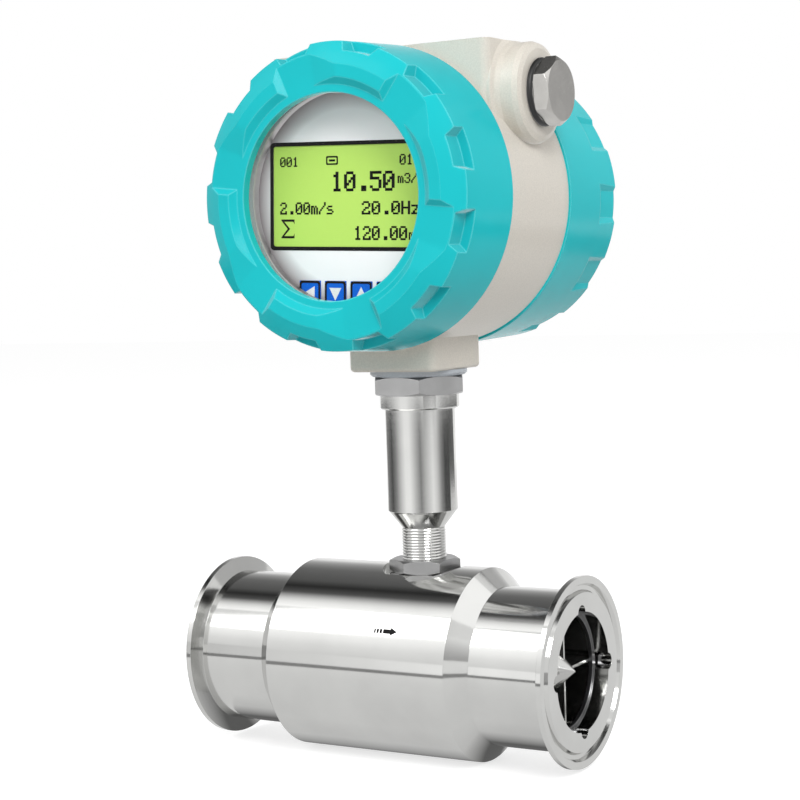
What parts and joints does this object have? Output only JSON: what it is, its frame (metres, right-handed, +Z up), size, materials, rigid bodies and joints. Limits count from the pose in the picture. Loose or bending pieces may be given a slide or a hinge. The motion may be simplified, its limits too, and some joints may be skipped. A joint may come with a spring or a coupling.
{
  "type": "turbine flow meter",
  "caption": "sanitary clamp turbine flow meter with helical rotor, pickup stem and swivelling display head with screwed covers",
  "frame": {"origin": "centre of the inlet ferrule's sealing face", "axes": "+X along the pipe in the flow direction, -Y the display side, +Z up the stem"},
  "size_m": [0.14, 0.1196, 0.2423],
  "materials": {
    "body_steel": "fine turned and polished stainless steel",
    "inner_steel": "machined stainless steel",
    "ring_steel": "spring steel",
    "rotor_steel": "machined magnetic stainless steel",
    "bush_carbide": "sintered carbide",
    "stem_steel": "turned stainless steel",
    "nut_steel": "satin stainless steel",
    "washer_plastic": "moulded nylon",
    "bobbin_plastic": "moulded",
    "winding_copper": "enamelled copper wire",
    "magnet_metal": "nickel plated",
    "lead_sleeve": "sleeved wires",
    "connector_plastic": "moulded",
    "housing_paint": "satin off-white coat on cast aluminium",
    "cover_paint": "gloss teal coat on cast aluminium",
    "plug_steel": "satin stainless steel",
    "seal_rubber": "smooth black",
    "retainer_metal": "anodised",
    "window_clear": "clear toughened",
    "dial_white": "satin printed film",
    "lcd_face": "backlit panel",
    "key_blue": "satin film",
    "board_green": "solder resist",
    "standoff_brass": "turned",
    "terminal_green": "moulded",
    "screw_steel": "zinc plated",
    "battery_sleeve": "shrink sleeve"
  },
  "bodies": {
    "sensor": {"meter_body": "body_steel", "inlet_straightener": "inner_steel", "outlet_straightener": "inner_steel", "inlet_retaining_ring": "ring_steel", "outlet_retaining_ring": "ring_steel", "inlet_bearing_bush": "bush_carbide", "outlet_bearing_bush": "bush_carbide", "pickup_stem": "stem_steel", "stem_lock_nut": "nut_steel", "head_lock_nut": "nut_steel", "neck_washer": "washer_plastic", "coil_bobbin": "bobbin_plastic", "coil_winding": "winding_copper", "pickup_magnet": "magnet_metal", "pickup_lead": "lead_sleeve", "lead_plug": "connector_plastic"},
    "rotor": {"rotor": "rotor_steel", "rotor_shaft": "rotor_steel"},
    "head": {"housing": "housing_paint", "dial_plate": "dial_white", "lcd_module": "lcd_face", "display_board": "board_green", "dial_spacers": "standoff_brass", "display_standoffs": "standoff_brass", "main_board": "board_green", "board_standoffs": "standoff_brass", "terminal_block": "terminal_green", "terminal_screws": "screw_steel", "battery_holder": "connector_plastic", "battery": "battery_sleeve", "ground_screw": "screw_steel"},
    "front_cover_seal": {"front_cover_seal": "seal_rubber"},
    "front_cover": {"front_cover": "cover_paint", "window_glass": "window_clear", "window_gasket": "seal_rubber", "window_retainer": "retainer_metal"},
    "rear_cover_seal": {"rear_cover_seal": "seal_rubber"},
    "rear_cover": {"rear_cover": "cover_paint"},
    "right_plug_seal": {"right_plug_seal": "seal_rubber"},
    "right_plug": {"right_plug": "plug_steel"},
    "left_plug_seal": {"left_plug_seal": "seal_rubber"},
    "left_plug": {"left_plug": "plug_steel"},
    "key_1": {"key_1": "key_blue"},
    "key_2": {"key_2": "key_blue"},
    "key_3": {"key_3": "key_blue"},
    "key_4": {"key_4": "key_blue"}
  },
  "joints": [
    {"name": "rotor_spin", "type": "hinge", "parent": "sensor", "child": "rotor", "pos_m": [0.0805, 0, 0], "axis": [1, 0, 0], "continuous": true},
    {"name": "head_swivel", "type": "hinge", "parent": "sensor", "child": "head", "pos_m": [0.0805, 0, 0.105], "axis": [0, 0, 1], "range_deg": [-175, 175]},
    {"name": "front_cover_travel", "type": "slide", "parent": "head", "child": "front_cover_seal", "axis": [0, -1, 0], "range_m": [0, 0.0081]},
    {"name": "front_cover_turn", "type": "hinge", "parent": "front_cover_seal", "child": "front_cover", "pos_m": [0.0805, -0.03205, 0.1587], "axis": [0, -1, 0], "range_deg": [0, 1440]},
    {"name": "rear_cover_travel", "type": "slide", "parent": "head", "child": "rear_cover_seal", "axis": [0, 1, 0], "range_m": [0, 0.0081]},
    {"name": "rear_cover_turn", "type": "hinge", "parent": "rear_cover_seal", "child": "rear_cover", "pos_m": [0.0805, 0.02795, 0.1587], "axis": [0, 1, 0], "range_deg": [0, 1440]},
    {"name": "right_plug_travel", "type": "slide", "parent": "head", "child": "right_plug_seal", "axis": [1, 0, 0], "range_m": [0, 0.0091]},
    {"name": "right_plug_turn", "type": "hinge", "parent": "right_plug_seal", "child": "right_plug", "pos_m": [0.1305, -0.00205, 0.1912], "axis": [1, 0, 0], "range_deg": [0, 2160]},
    {"name": "left_plug_travel", "type": "slide", "parent": "head", "child": "left_plug_seal", "axis": [-1, 0, 0], "range_m": [0, 0.0091]},
    {"name": "left_plug_turn", "type": "hinge", "parent": "left_plug_seal", "child": "left_plug", "pos_m": [0.0305, -0.00205, 0.1912], "axis": [-1, 0, 0], "range_deg": [0, 2160]},
    {"name": "key_1_press", "type": "slide", "parent": "head", "child": "key_1", "axis": [0, 1, 0], "range_m": [0, 0.0005], "stiffness_N_per_m": 600},
    {"name": "key_2_press", "type": "slide", "parent": "head", "child": "key_2", "axis": [0, 1, 0], "range_m": [0, 0.0005], "stiffness_N_per_m": 600},
    {"name": "key_3_press", "type": "slide", "parent": "head", "child": "key_3", "axis": [0, 1, 0], "range_m": [0, 0.0005], "stiffness_N_per_m": 600},
    {"name": "key_4_press", "type": "slide", "parent": "head", "child": "key_4", "axis": [0, 1, 0], "range_m": [0, 0.0005], "stiffness_N_per_m": 600}
  ],
  "couplings": [
    {"joint": "front_cover_travel", "follows": "front_cover_turn", "m_per_rad": 0.00031831},
    {"joint": "rear_cover_travel", "follows": "rear_cover_turn", "m_per_rad": 0.00031831},
    {"joint": "right_plug_travel", "follows": "right_plug_turn", "m_per_rad": 0.00023873},
    {"joint": "left_plug_travel", "follows": "left_plug_turn", "m_per_rad": 0.00023873}
  ]
}
